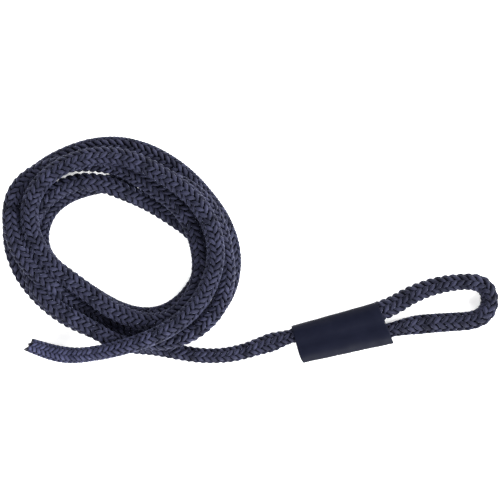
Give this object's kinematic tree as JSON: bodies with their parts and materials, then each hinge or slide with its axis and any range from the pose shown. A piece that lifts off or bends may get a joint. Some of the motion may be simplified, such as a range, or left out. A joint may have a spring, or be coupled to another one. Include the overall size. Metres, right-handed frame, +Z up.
{
  "type": "dock line",
  "caption": "Short soft braided dock line laid in a loose oval coil, with a sleeved eye at one end and a melted free end.",
  "frame": {"origin": "bottom centre of the whole line as it lies: on the ground, midway between the coil's left edge and the eye's right end", "axes": "+X from the coil towards the eye, +Y across the line in the plane it lies in, +Z up from the ground"},
  "size_m": [0.2989, 0.1367, 0.028],
  "materials": {
    "rope_cover": "navy soft multifilament braid, dull sheen",
    "rope_core": "navy straight filaments, matte",
    "melted_end": "dark melted fibre, uneven",
    "sleeve": "navy shrink tube, satin",
    "stitching": "navy waxed thread"
  },
  "bodies": {
    "root": {"coil": "rope_cover", "tail_cover": "rope_cover", "tail_core": "rope_core", "tail_tip": "melted_end", "lead_cover": "rope_cover", "lead_core": "rope_core", "eye_cover": "rope_cover", "eye_core": "rope_core", "return_cover": "rope_cover", "return_core": "rope_core", "return_tip": "melted_end", "eye_sleeve": "sleeve", "lock_stitches": "stitching"}
  },
  "joints": []
}
